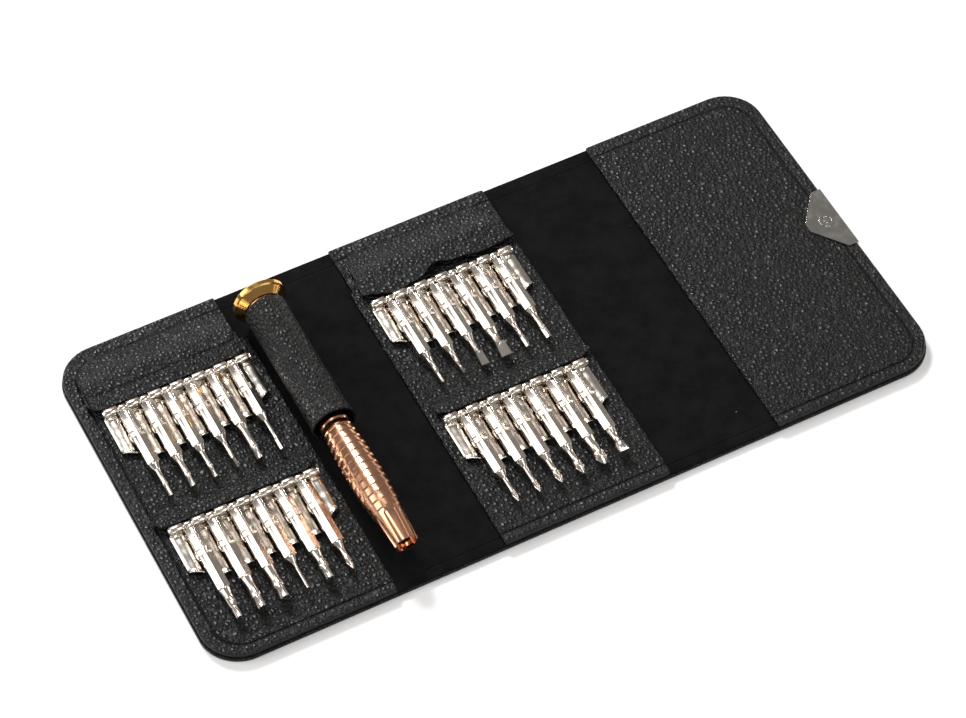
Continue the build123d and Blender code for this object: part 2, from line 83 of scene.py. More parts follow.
def shadeSmooth(mesh):
    for polygon in mesh.polygons:
        polygon.use_smooth = True


def meshObject(name, points, faces, materials):
    mesh = bpy.data.meshes.new(name)
    mesh.from_pydata([Vector(p) * mm for p in points], [], faces)
    mesh.validate()
    for material in materials:
        mesh.materials.append(material)
    shadeSmooth(mesh)
    return addObject(name, mesh)


def applyModifiers(piece):
    graph = bpy.context.evaluated_depsgraph_get()
    made = bpy.data.meshes.new_from_object(piece.evaluated_get(graph))
    piece.modifiers.clear()
    piece.data = made
    return piece


def loftRings(rings, capEnds=True):
    # closed rings of equal length, joined in order
    count = len(rings[0])
    points = [p for ring in rings for p in ring]
    faces = []
    for n in range(len(rings) - 1):
        first, second = n * count, (n + 1) * count
        for k in range(count):
            after = (k + 1) % count
            faces.append((first + k, first + after, second + after, second + k))
    if capEnds:
        faces.append(tuple(range(count))[::-1])
        last = (len(rings) - 1) * count
        faces.append(tuple(range(last, last + count)))
    return points, faces


def outward(piece):
    shape = bmesh.new()
    shape.from_mesh(piece.data)
    bmesh.ops.recalc_face_normals(shape, faces=shape.faces)
    shape.to_mesh(piece.data)
    shape.free()
    return piece


def loftPiece(name, rings, materials, capEnds=True):
    return outward(meshObject(name, *loftRings(rings, capEnds), materials))


def addBevel(piece, width, segments, degrees):
    bevel = piece.modifiers.new("softEdge", "BEVEL")
    bevel.width = width * mm
    bevel.segments = segments
    bevel.limit_method = "ANGLE"
    bevel.angle_limit = math.radians(degrees)


def soften(piece, width, segments=2, degrees=35):
    addBevel(piece, width, segments, degrees)
    return applyModifiers(piece)


def sharpen(piece, degrees):
    piece.data.set_sharp_from_angle(angle=math.radians(degrees))
    return piece


def carry(piece, x, y, z):
    piece.data.transform(Matrix.Translation(Vector((x, y, z)) * mm))
    return piece


def smoothStep(low, high, value):
    t = min(1.0, max(0.0, (value - low) / (high - low)))
    return t * t * (3 - 2 * t)


def ripple(x, y, size, seed):
    return noise.noise(Vector((x / size, y / size, seed)))


def waves(x, y, layers):
    # layers hold the height, size and seed of each ripple
    return sum(height * ripple(x, y, size, seed) for height, size, seed in layers)


def roundBoxDistance(x, y, low, high, radius):
    # below zero inside a rounded rectangle
    middle = ((low[0] + high[0]) / 2, (low[1] + high[1]) / 2)
    across = abs(x - middle[0]) - (high[0] - low[0]) / 2 + radius
    along = abs(y - middle[1]) - (high[1] - low[1]) / 2 + radius
    outside = math.hypot(max(across, 0.0), max(along, 0.0))
    return outside + min(max(across, along), 0.0) - radius


def bandDistance(x, y):
    # distance inwards from the pressed line that runs round the whole open wallet
    low = (-wallet["right"] + wallet["bandSide"], -wallet["half"] + wallet["bandLow"])
    high = (wallet["right"] - wallet["bandSide"], wallet["half"] - wallet["bandTop"])
    return -roundBoxDistance(x, y, low, high, wallet["bandCorner"])


def storeBand(piece):
    # the leather and suede read this to draw the pressed line
    values = [bandDistance(v.co.x / mm, v.co.y / mm) for v in piece.data.vertices]
    attribute = piece.data.attributes.new("bandDistance", "FLOAT", "POINT")
    attribute.data.foreach_set("value", values)


def joinPieces(name, pieces):
    # one mesh from several, each keeping its material
    shape = bmesh.new()
    materials = []
    for piece in pieces:
        material = piece.data.materials[0]
        if material not in materials:
            materials.append(material)
        before = len(shape.faces)
        shape.from_mesh(piece.data)
        shape.faces.ensure_lookup_table()
        for face in shape.faces[before:]:
            face.material_index = materials.index(material)
    mesh = bpy.data.meshes.new(name)
    shape.to_mesh(mesh)
    shape.free()
    for material in materials:
        mesh.materials.append(material)
    for piece in pieces:
        bpy.data.objects.remove(piece)
    return addObject(name, mesh)


def repeatTree():
    # copies of a mesh along a straight row
    tree = bpy.data.node_groups.new("repeatInRow", "GeometryNodeTree")

    def socket(label, way, kind):
        made = tree.interface.new_socket(label, in_out=way, socket_type="NodeSocket" + kind)
        return made.identifier

    socket("Geometry", "INPUT", "Geometry")
    sockets = {
        "count": socket("Count", "INPUT", "Int"),
        "spacing": socket("Spacing", "INPUT", "Vector"),
        "material": socket("Material", "INPUT", "Material"),
    }
    socket("Geometry", "OUTPUT", "Geometry")
    given, out = tree.nodes.new("NodeGroupInput"), tree.nodes.new("NodeGroupOutput")
    row = tree.nodes.new("GeometryNodeMeshLine")
    copies = tree.nodes.new("GeometryNodeInstanceOnPoints")
    real = tree.nodes.new("GeometryNodeRealizeInstances")
    paint = tree.nodes.new("GeometryNodeSetMaterial")
    for source, label, target, slot in (
        (given, "Count", row, "Count"),
        (given, "Spacing", row, "Offset"),
        (row, "Mesh", copies, "Points"),
        (given, "Geometry", copies, "Instance"),
        (copies, "Instances", real, "Geometry"),
        (real, "Geometry", paint, "Geometry"),
        (given, "Material", paint, "Material"),
        (paint, "Geometry", out, "Geometry"),
    ):
        tree.links.new(source.outputs[label], target.inputs[slot])
    return tree, sockets


repeatGroup, repeatSockets = repeatTree()


def repeatInRow(piece, count, spacing, material):
    row = piece.modifiers.new("row", "NODES")
    row.node_group = repeatGroup
    row[repeatSockets["count"]] = count
    row[repeatSockets["spacing"]] = [value * mm for value in spacing]
    row[repeatSockets["material"]] = material
    return applyModifiers(piece)


def feed(tree, socket, value):
    # a socket is linked, a constant is set
    if isinstance(value, bpy.types.NodeSocket):
        tree.links.new(value, socket)
    else:
        socket.default_value = value


def addNode(tree, kind, settings=None, values=None):
    made = tree.nodes.new(kind)
    for key, value in (settings or {}).items():
        setattr(made, key, value)
    for key, value in (values or {}).items():
        feed(tree, made.inputs[key], value)
    return made


def maths(tree, operation, *terms):
    return addNode(tree, "ShaderNodeMath", {"operation": operation}, dict(enumerate(terms))).outputs[0]


def vectorMaths(tree, operation, values):
    return addNode(tree, "ShaderNodeVectorMath", {"operation": operation}, values).outputs[0]


def cloudNoise(tree, points, scale, detail, roughness=0.5):
    values = {"Vector": points, "Scale": scale, "Detail": detail, "Roughness": roughness}
    return addNode(tree, "ShaderNodeTexNoise", values=values)


def remap(tree, value, low, high, toLow=0.0, toHigh=1.0, kind="SMOOTHSTEP"):
    values = dict(enumerate((value, low, high, toLow, toHigh)))
    return addNode(tree, "ShaderNodeMapRange", {"interpolation_type": kind}, values).outputs[0]


def mixColour(tree, factor, first, second):
    made = addNode(tree, "ShaderNodeMix", {"data_type": "RGBA"}, {0: factor})
    for index, colour in ((6, first), (7, second)):
        feed(tree, made.inputs[index], (*colour, 1.0) if isinstance(colour, tuple) else colour)
    return made.outputs[2]


def newGroup(name, inputs, outputs):
    tree = bpy.data.node_groups.new(name, "ShaderNodeTree")
    for way, sockets in (("INPUT", inputs), ("OUTPUT", outputs)):
        for label, kind in sockets.items():
            tree.interface.new_socket(label, in_out=way, socket_type="NodeSocket" + kind)
    return tree, tree.nodes.new("NodeGroupInput").outputs, tree.nodes.new("NodeGroupOutput").inputs


def pebbleGroup():
    # leather grain: rounded pebbles between creases, with fine wrinkles on top
    tree, given, out = newGroup(
        "pebbleGrain",
        {"Vector": "Vector", "Pebbles per metre": "Float", "Warp": "Float", "Stretch": "Vector"},
        {"Height": "Float", "Crease": "Float", "Variation": "Float"},
    )
    drift = cloudNoise(tree, given["Vector"], 330.0, 2.0)
    centred = vectorMaths(tree, "SUBTRACT", {0: drift.outputs["Color"], 1: (0.5, 0.5, 0.5)})
    pushed = vectorMaths(tree, "SCALE", {0: centred, "Scale": given["Warp"]})
    moved = vectorMaths(tree, "ADD", {0: given["Vector"], 1: pushed})
    drawn = vectorMaths(tree, "MULTIPLY", {0: moved, 1: given["Stretch"]})
    cell = {"Vector": drawn, "Scale": given["Pebbles per metre"], "Randomness": 0.9}
    creases = addNode(tree, "ShaderNodeTexVoronoi", {"feature": "DISTANCE_TO_EDGE"}, cell)
    cells = addNode(tree, "ShaderNodeTexVoronoi", {"feature": "SMOOTH_F1"}, {**cell, "Smoothness": 0.25})
    wrinkle = cloudNoise(tree, drawn, 2600.0, 3.0, 0.6)
    patches = cloudNoise(tree, given["Vector"], 60.0, 3.0)
    # distance from a crease: it shapes the crease's dip and says where the painted crease shade goes
    creaseShade = remap(tree, creases.outputs["Distance"], 0.0, 0.22)
    dome = remap(tree, cells.outputs["Distance"], 0.75, 0.0, kind="LINEAR")
    body = maths(tree, "MULTIPLY", creaseShade, maths(tree, "MULTIPLY_ADD", dome, 0.55, 0.45))
    height = maths(tree, "MULTIPLY_ADD", wrinkle.outputs["Fac"], 0.12, body)
    tree.links.new(height, out["Height"])
    tree.links.new(creaseShade, out["Crease"])
    tree.links.new(patches.outputs["Fac"], out["Variation"])
    return tree


def handledGroup():
    # light uneven polish and hairline scratches of handled metal
    tree, given, out = newGroup(
        "handledMetal",
        {"Vector": "Vector", "Lines per metre": "Float"},
        {"Smudge": "Float", "Scratch": "Float"},
    )
    smudge = cloudNoise(tree, given["Vector"], 260.0, 4.0, 0.6)
    drawn = vectorMaths(tree, "MULTIPLY", {0: given["Vector"], 1: (1.0, 0.06, 1.0)})
    lines = cloudNoise(tree, drawn, given["Lines per metre"], 2.0)
    tree.links.new(remap(tree, smudge.outputs["Fac"], 0.35, 0.7), out["Smudge"])
    tree.links.new(lines.outputs["Fac"], out["Scratch"])
    return tree


groups = {"pebble": pebbleGroup(), "handled": handledGroup()}


def newMaterial(name):
    material = bpy.data.materials.new(name)
    material.use_nodes = True
    tree = material.node_tree
    return material, tree, tree.nodes["Principled BSDF"]


def objectPoints(tree):
    return addNode(tree, "ShaderNodeTexCoord").outputs["Object"]


def useGroup(tree, name, values):
    return addNode(tree, "ShaderNodeGroup", {"node_tree": groups[name]}, values).outputs


def addBump(tree, shader, strength, distance, height):
    values = {"Strength": strength, "Distance": distance, "Height": height}
    bump = addNode(tree, "ShaderNodeBump", values=values)
    tree.links.new(bump.outputs[0], shader.inputs["Normal"])


def pressedLine(tree):
    # the groove pressed along the border, and the border outside it
    stored = addNode(tree, "ShaderNodeAttribute", {"attribute_name": "bandDistance"}).outputs["Fac"]
    away = maths(tree, "ABSOLUTE", stored)
    return remap(tree, away, 0.42, 0.05), remap(tree, stored, 0.0, -0.3)


def leatherMaterial(name, look):
    material, tree, shader = newMaterial(name)
    grain = useGroup(tree, "pebble", {
        "Vector": objectPoints(tree), "Pebbles per metre": look["pebbles"],
        "Warp": look["warp"], "Stretch": look["stretch"],
    })
    tone = mixColour(tree, grain["Variation"], look["dark"], look["light"])
    # the grain's creases are darkened towards the crease colour: painted shade
    colour = mixColour(tree, grain["Crease"], look["creaseShade"], tone)
    rough = remap(tree, grain["Height"], 0.1, 1.1, look["roughLow"], look["roughHigh"], "LINEAR")
    groove, border = pressedLine(tree)
    flatter = maths(tree, "MULTIPLY", grain["Height"], remap(tree, border, 0.0, 1.0, 1.0, 0.75))
    height = maths(tree, "MULTIPLY_ADD", groove, -look["groove"], flatter)
    # the pressed groove is darkened to the crease colour: painted shade in the groove
    shaded = mixColour(tree, maths(tree, "MULTIPLY", groove, 0.85), colour, look["creaseShade"])
    tree.links.new(shaded, shader.inputs["Base Color"])
    tree.links.new(rough, shader.inputs["Roughness"])
    addBump(tree, shader, look["strength"], look["depth"], height)
    shader.inputs["Specular IOR Level"].default_value = look["specular"]
    return material


def suedeMaterial(name, look):
    material, tree, shader = newMaterial(name)
    points = objectPoints(tree)
    nap = cloudNoise(tree, points, 2400.0, 4.0, 0.65)
    brushed = cloudNoise(tree, points, 170.0, 5.0, 0.6)
    specks = addNode(tree, "ShaderNodeTexVoronoi", {"feature": "F1"}, {"Vector": points, "Scale": 150.0})
    near = remap(tree, specks.outputs["Distance"], 0.035, 0.015)
    few = maths(tree, "GREATER_THAN", specks.outputs["Color"], look["lintAbove"])
    tone = mixColour(tree, remap(tree, brushed.outputs["Fac"], 0.3, 0.7), look["dark"], look["light"])
    fibres = mixColour(tree, remap(tree, nap.outputs["Fac"], 0.35, 0.75), tone, look["light"])
    colour = mixColour(tree, maths(tree, "MULTIPLY", near, few), fibres, look["lint"])
    groove = pressedLine(tree)[0]
    height = maths(tree, "MULTIPLY_ADD", groove, -look["groove"], nap.outputs["Fac"])
    tree.links.new(colour, shader.inputs["Base Color"])
    addBump(tree, shader, look["strength"], look["depth"], height)
    shader.inputs["Roughness"].default_value = look["rough"]
    shader.inputs["Specular IOR Level"].default_value = look["specular"]
    return material


def metalMaterial(name, look):
    material, tree, shader = newMaterial(name)
    wear = useGroup(tree, "handled", {"Vector": objectPoints(tree), "Lines per metre": look["lines"]})
    colour = mixColour(tree, wear["Smudge"], look["colour"], look["shade"])
    rough = remap(tree, wear["Smudge"], 0.0, 1.0, look["roughLow"], look["roughHigh"], "LINEAR")
    tree.links.new(colour, shader.inputs["Base Color"])
    tree.links.new(rough, shader.inputs["Roughness"])
    addBump(tree, shader, look["scratch"], 0.00002, wear["Scratch"])
    shader.inputs["Metallic"].default_value = 1.0
    return material


leatherLook = {
    "pebbles": 800.0, "warp": 0.0010, "stretch": (1.0, 0.8, 1.0),
    "dark": (0.0022, 0.0022, 0.0024), "light": (0.0052, 0.0052, 0.0055),
    # the colour darkening the grain's creases is painted shade
    "creaseShade": (0.0006, 0.0006, 0.0006), "roughLow": 0.5, "roughHigh": 0.33,
    "strength": 0.9, "depth": 0.00055, "specular": 0.36, "groove": 2.2,
}
suedeLook = {
    "dark": (0.0030, 0.0030, 0.0031), "light": (0.0075, 0.0075, 0.0078),
    "lint": (0.2, 0.2, 0.2), "lintAbove": 0.72, "rough": 0.95,
    "strength": 0.7, "depth": 0.00012, "specular": 0.06, "groove": 3.0,
}
metalLooks = {
    "nickel_plate": {
        "name": "brightNickel", "colour": (0.86, 0.80, 0.73), "shade": (0.78, 0.71, 0.63),
        "roughLow": 0.17, "roughHigh": 0.26, "scratch": 0.25, "lines": 9000.0,
    },
    "copper_anodised": {
        "name": "copperAnodised", "colour": (0.86, 0.47, 0.30), "shade": (0.78, 0.40, 0.24),
        "roughLow": 0.16, "roughHigh": 0.26, "scratch": 0.2, "lines": 7000.0,
    },
    "gold_plate": {
        "name": "goldPlate", "colour": (0.93, 0.55, 0.17), "shade": (0.86, 0.44, 0.10),
        "roughLow": 0.10, "roughHigh": 0.18, "scratch": 0.15, "lines": 7000.0,
    },
    "dark_nickel": {
        "name": "darkNickel", "colour": (0.66, 0.64, 0.61), "shade": (0.50, 0.48, 0.45),
        "roughLow": 0.16, "roughHigh": 0.3, "scratch": 0.2, "lines": 7000.0,
    },
    # a darker, browner copy of the nickel for the tongues and back bar under the clips: painted shade and
    # painted reflection
    "tongue_nickel": {
        "name": "shadedNickel", "colour": (0.50, 0.43, 0.36), "shade": (0.36, 0.30, 0.25),
        "roughLow": 0.2, "roughHigh": 0.32, "scratch": 0.3, "lines": 9000.0,
    },
    "steel": {
        "name": "plainSteel", "colour": (0.62, 0.62, 0.62), "shade": (0.5, 0.5, 0.5),
        "roughLow": 0.25, "roughHigh": 0.4, "scratch": 0.4, "lines": 6000.0,
    },
}
metals = {slot: metalMaterial(look["name"], look) for slot, look in metalLooks.items()}
leather = leatherMaterial("grainedLeather", leatherLook)
suede = suedeMaterial("blackSuede", suedeLook)

for row in frame["record"]["subparts"]:
    node = frame["nodes"][row["node"]]
    if row["material_slot"] in metals:
        node.data.materials.clear()
        node.data.materials.append(metals[row["material_slot"]])
badgeWeld = frame["nodes"]["badge_plate"].modifiers.new("weld", "WELD")
badgeWeld.merge_threshold = 0.001 * mm
addBevel(frame["nodes"]["badge_plate"], 0.15, 3, 40)
print("materials made")


def halfAt(x, inset):
    # half height of the wallet's outline at one X
    radius = wallet["corner"] - inset
    past = abs(x) - (wallet["right"] - wallet["corner"])
    top = wallet["half"] - inset
    if past <= 0:
        return top
    past = min(past, radius)
    return top - radius + math.sqrt(max(0.0, radius * radius - past * past))


foldLines = [
    # the fold's bodies, where its bend starts and ends, and where the next sheet takes over
    ("left_panel", "handle_strip", -58.2, -52.3, -52.0),
    ("handle_strip", "bend", -51.7, -46.2, -41.5),
    ("bend", "centre_panel", -40.3, -28.3, 0.0),
    ("centre_panel", "closing_spine", 27.4, 37.6, 43.5),
    ("closing_spine", "closing_flap", 49.4, 59.6, wallet["right"]),
]
sheetPlan = {
    "columnStep": 1.0, "arcStep": 6, "arcSteps": 15, "lines": 56, "edgeSteps": 6, "sharpAbove": 50,
    "waves": ((0.10, 19.0, 3.0), (0.05, 7.0, 8.0)), "waveStart": 0.3, "waveFull": 5.0,
}


def columnPlaces(x0, x1):
    # even columns along the straight part, closer ones round a corner
    count = max(2, round((x1 - x0) / sheetPlan["columnStep"]))
    straight = wallet["right"] - wallet["corner"]
    places = [x0 + (x1 - x0) * n / count for n in range(count + 1)]
    places = [x for x in places if abs(x) < straight]
    for side in (-1, 1):
        if x0 <= side * straight <= x1:
            for n in range(sheetPlan["arcSteps"]):
                turn = math.radians(sheetPlan["arcStep"] * n)
                places.append(side * (straight + wallet["corner"] * math.sin(turn)))
    return sorted(places)


def sheetRing(x, half, low, high, radius, topAt):
    lines, steps = sheetPlan["lines"], sheetPlan["edgeSteps"]
    straight = half - radius

    def roundedEdge(side, start):
        edge = []
        for n in range(1, steps):
            turn = math.pi * n / steps + start
            z = (low + high) / 2 + (high - low) / 2 * math.sin(turn)
            edge.append((x, side * straight + radius * math.cos(turn), z))
        return edge

    under = [(x, (2 * n / lines - 1) * straight, low) for n in range(lines + 1)]
    over = []
    for n in range(lines + 1):
        y = (1 - 2 * n / lines) * straight
        over.append((x, y, high + topAt(x, y)))
    return under + roundedEdge(1, -math.pi / 2) + over + roundedEdge(-1, math.pi / 2)


def walletSheet(name, x0, x1, plan, topAt, material):
    rings = []
    edge = wallet["right"] - plan["inset"]
    for x in columnPlaces(x0, x1):
        x = max(-edge, min(edge, x))
        half = halfAt(x, plan["inset"])
        rings.append(sheetRing(x, half, plan["low"], plan["high"], plan["edge"], topAt))
    piece = sharpen(meshObject(name, *loftRings(rings), [material]), sheetPlan["sharpAbove"])
    storeBand(piece)
    return piece


badgeLow, badgeHigh = lowHigh("badge_plate")
badgePlan = {"far": 1.0, "near": 0.3, "edgeRoom": 0.65, "below": 0.64, "ceiling": 10.0, "press": 6.9}


def badgeRoom(x, y):
    # one where the badge's plate is wrapped round the wallet's edge
    far, near = badgePlan["far"], badgePlan["near"]
    across = smoothStep(badgeLow.x - far, badgeLow.x - near, x)
    above = smoothStep(badgeLow.y - far, badgeLow.y - near, y)
    return across * above * smoothStep(badgeHigh.y + far, badgeHigh.y + near, y)


def clearBadge(piece):
    # pressed in where the badge's plate is wrapped round the edge
    for vertex in piece.data.vertices:
        x, y, z = vertex.co / mm
        room = badgeRoom(x, y)
        x = min(x, wallet["right"] - badgePlan["edgeRoom"] * room)
        z = min(max(z, badgePlan["below"] * room), badgePlan["ceiling"] - badgePlan["press"] * room)
        vertex.co = Vector((x, y, z)) * mm


def flatTop(x, y):
    return 0.0


def suedeTop(x, y):
    # the lining lies in faint waves that fade out at its edge
    away = wallet["half"] - abs(y)
    return waves(x, y, sheetPlan["waves"]) * smoothStep(sheetPlan["waveStart"], sheetPlan["waveFull"], away)


def makeWallet():
    coverPlan = {"low": 0.0, "high": wallet["coverTop"], "edge": 0.5, "inset": 0.0}
    liningPlan = {"low": wallet["coverTop"], "high": wallet["liningTop"], "edge": 0.35, "inset": 0.25}
    start = -wallet["right"]
    for n, (first, second, bendStart, bendEnd, end) in enumerate(foldLines):
        cover = walletSheet(f"outer_leather_{n + 1}", start, end, coverPlan, flatTop, leather)
        lining = walletSheet(f"suede_lining_{n + 1}", start, end, liningPlan, suedeTop, suede)
        if second == "closing_flap":
            clearBadge(cover)
            clearBadge(lining)
        for piece in (cover, lining):
            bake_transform(piece)
        if n == 0:
            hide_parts("left_cover", "handle_strip_cover")
            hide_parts("left_lining", "handle_strip_lining")
        if n == 2:
            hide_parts("bend_cover", "centre_cover")
            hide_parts("bend_lining", "centre_lining")
        if n == 4:
            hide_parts("closing_spine_cover", "closing_flap_cover")
            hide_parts("closing_spine_lining", "closing_flap_lining")
        start = end
    print("wallet sheets made")


makeWallet()


facingPlan = {
    "margin": 0.4, "round": 0.5, "cutCorner": 0.8, "cornerShare": 0.98, "smallestCorner": 0.35,
    "columnStep": 1.0, "linesAlong": 100, "linesInCorner": 10, "innerRings": 20, "centreGap": 0.4,
    # rings close together at the rounded edge and at the pressed line
    "insets": [0.0, 0.0, 0.03, 0.12, 0.28, 0.5, 0.9, 1.5, 2.2, 2.9, 3.2, 3.4, 3.55, 3.75, 4.1, 4.7],
    "waves": ((0.12, 14.0, 1.0), (0.05, 5.0, 4.0)), "waveStart": 0.2, "waveFull": 2.0,
    "lineDepth": 0.2, "lineWidth": 0.6,
}
# how far the facings are drawn back beside the cap, and where the step begins before the cap
capRoom = {
    "left": 2.8, "centre": 1.1, "soft": 1.5, "far": 2.2, "near": 1.3,
    "start": lowHigh("handle_cap")[0].y,
}


def cornerRing(x0, x1, y0, y1, radii, inset, counts):
    # rounded rectangle, radii from the low left corner anticlockwise
    alongX, alongY, inArc = counts
    x0, x1, y0, y1 = x0 + inset, x1 - inset, y0 + inset, y1 - inset
    corners = [(x0, y0, 1, 1, 180), (x1, y0, -1, 1, 270), (x1, y1, -1, -1, 0), (x0, y1, 1, -1, 90)]
    limit = min(x1 - x0, y1 - y0) / 2 * facingPlan["cornerShare"]
    arcs = []
    for (cx, cy, sx, sy, start), radius in zip(corners, radii):
        r = min(limit, max(radius - inset, facingPlan["smallestCorner"]))
        turns = [math.radians(start + 90 * k / inArc) for k in range(inArc + 1)]
        arcs.append([(cx + sx * r + r * math.cos(turn), cy + sy * r + r * math.sin(turn)) for turn in turns])
    points = []
    for n, arc in enumerate(arcs):
        points += arc
        last, following = arc[-1], arcs[(n + 1) % 4][0]
        count = alongX if n % 2 == 0 else alongY
        for k in range(1, count):
            x = last[0] + (following[0] - last[0]) * k / count
            points.append((x, last[1] + (following[1] - last[1]) * k / count))
    return points


def facingSheet(name, x0, x1, radii, heightAt, material):
    edge = wallet["half"] - facingPlan["margin"]
    across = int((x1 - x0) / facingPlan["columnStep"])
    counts = (across, facingPlan["linesAlong"], facingPlan["linesInCorner"])
    half = (x1 - x0) / 2
    inner = facingPlan["insets"][-1]
    step = (half - facingPlan["centreGap"] - inner) / facingPlan["innerRings"]
    insets = facingPlan["insets"] + [inner + step * (n + 1) for n in range(facingPlan["innerRings"])]
    low, high = wallet["liningTop"], wallet["facingTop"]
    r = facingPlan["round"]
    rings = []
    for n, inset in enumerate(insets):
        ring = cornerRing(x0, x1, -edge, edge, radii, inset, counts)
        if n == 0:
            rings.append([(x, y, low) for x, y in ring])
        else:
            drop = r - math.sqrt(max(0.0, r * r - (r - min(r, inset)) ** 2))
            rings.append([(x, y, high - drop + heightAt(x, y, inset)) for x, y in ring])
    piece = meshObject(name, *loftRings(rings), [material])
    storeBand(piece)
    return piece


def besideCap(piece, end, side, depth):
    # the facing's end is drawn back where the folded cap passes it: side is 1 for a right end
    soft = depth + capRoom["soft"]
    for vertex in piece.data.vertices:
        x, y, z = vertex.co / mm
        inside = soft - side * (end - x)
        if inside > 0:
            beside = smoothStep(capRoom["start"] - capRoom["far"], capRoom["start"] - capRoom["near"], y)
            x -= side * inside * (depth / soft) * beside
            vertex.co = Vector((x, y, z)) * mm


def facingHeight(x, y, inset):
    fade = smoothStep(facingPlan["waveStart"], facingPlan["waveFull"], inset)
    dip = facingPlan["lineDepth"] * math.exp(-(bandDistance(x, y) / facingPlan["lineWidth"]) ** 2)
    return waves(x, y, facingPlan["waves"]) * fade - dip


def makeFacings():
    outer, cut = wallet["corner"] - facingPlan["margin"], facingPlan["cutCorner"]
    plans = {
        "left_facing": ("left_panel", (outer, cut, cut, outer)),
        "centre_facing": ("centre_panel", (cut, cut, cut, cut)),
        "closing_flap_facing": ("closing_flap", (cut, outer, outer, cut)),
    }
    for node, (body, radii) in plans.items():
        low, high = lowHigh(node)
        x0, x1 = low.x, high.x
        if node == "closing_flap_facing":
            x1 = wallet["right"] - facingPlan["margin"]
        piece = facingSheet(node + "_leather", x0, x1, radii, facingHeight, leather)
        clearBadge(piece)
        if node == "left_facing":
            besideCap(piece, x1, 1, capRoom["left"])
        if node == "centre_facing":
            besideCap(piece, x0, -1, capRoom["centre"])
        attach(piece, body)
        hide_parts(node)
    print("facings made")


makeFacings()


def between(knots, u):
    # smooth curve through (place, value) knots
    for (u0, v0), (u1, v1) in zip(knots, knots[1:]):
        if u <= u1:
            return v0 + (v1 - v0) * smoothStep(u0, u1, u)
    return knots[-1][1]


def sheetGrid(name, columns, rows, place, thickness, materials, edge=0.2):
    # a sheet of one thickness: place(u, v) gives its upper face
    points = [place(i / columns, j / rows) for j in range(rows + 1) for i in range(columns + 1)]
    faces = []
    for j in range(rows):
        for i in range(columns):
            a = j * (columns + 1) + i
            faces.append((a, a + 1, a + columns + 2, a + columns + 1))
    piece = meshObject(name, points, faces, materials)
    solid = piece.modifiers.new("thickness", "SOLIDIFY")
    solid.thickness = thickness * mm
    solid.offset = -1
    solid.use_even_offset = True
    return soften(piece, edge, 3, 50)


flapPlan = {
    "columns": 90, "rows": 60, "thickness": 0.8, "above": 0.25, "wave": (0.22, 8.0, 2.0),
    # the free edge spreads sideways, the sides sink and the glued end is pressed down
    "flare": 2.2, "flarePower": 1.5, "leftFlare": 0.6, "sideDrop": 0.5, "sideWidth": 2.6,
    "endDrop": 0.45, "endWidth": 0.8,
    # a pressed line near the free edge
    "line": 0.0, "lineFrom": 5.0, "lineWidth": 0.55,
}


def flapSheet(name, spec):
    width = spec["x1"] - spec["x0"]

    def place(u, v):
        spread = spec["flare"] * (1 - v) ** spec["flarePower"]
        sides = spread * (spec["leftFlare"] + spec["rightFlare"])
        x = spec["x0"] - spread * spec["leftFlare"] + (width + sides) * u
        fromSide = min(u, 1 - u) * width
        r = spec["corner"]
        lift = r - math.sqrt(max(0.0, r * r - max(0.0, r - fromSide) ** 2))
        low = spec["low"] + lift + between(spec["edge"], u)
        y = low + (spec["high"] - low) * v
        fromTop = spec["high"] - y
        z = wallet["facingTop"] + spec["above"] + spec["rise"] * smoothStep(0.0, spec["reach"], fromTop)
        sideDrop = spec["sideDrop"] * smoothStep(spec["sideWidth"], 0.0, fromSide)
        z -= sideDrop + spec["endDrop"] * smoothStep(spec["endWidth"], 0.0, fromTop)
        line = spec["line"] * math.exp(-((y - low - spec["lineFrom"]) / spec["lineWidth"]) ** 2)
        return (x, y, z + waves(x, y, [spec["wave"]]) - line)

    return sheetGrid(name, spec["columns"], spec["rows"], place, spec["thickness"], [leather])


def makeFlaps():
    plain = [(0.0, 0.0), (1.0, 0.0)]
    wavy = [(0.0, 2.4), (0.2, -0.5), (0.34, 0.5), (0.49, 4.0), (0.6, 2.5), (0.78, 1.4), (1.0, 2.4)]
    eared = [(0.0, 1.4), (0.08, 0.0), (0.92, 0.0), (1.0, 1.8)]
    plans = {
        "left_top_flap": ("left_panel", {
            "rise": 2.0, "reach": 11.0, "edge": plain, "line": 0.5,
            "down": 0.95, "corner": 4.0, "rightFlare": 0.4,
        }),
        "left_low_flap": ("left_panel", {
            "rise": 1.95, "reach": 5.5, "edge": plain,
            "down": 0.8, "corner": 4.0, "rightFlare": 0.8,
        }),
        "centre_top_flap": ("centre_panel", {
            "rise": 2.1, "reach": 11.0, "edge": wavy,
            "down": 0.9, "corner": 0.8, "rightFlare": 1.6,
        }),
        "centre_low_flap": ("centre_panel", {
            "rise": 1.95, "reach": 5.5, "edge": eared,
            "down": 0.8, "corner": 1.0, "rightFlare": 1.6,
        }),
    }
    for node, (body, plan) in plans.items():
        low, high = lowHigh(node)
        room = {"x0": low.x, "x1": high.x, "low": low.y - plan["down"], "high": high.y}
        piece = flapSheet(node + "_leather", {**flapPlan, **plan, **room})
        storeBand(piece)
        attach(piece, body)
        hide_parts(node)
    print("flaps made")


makeFlaps()


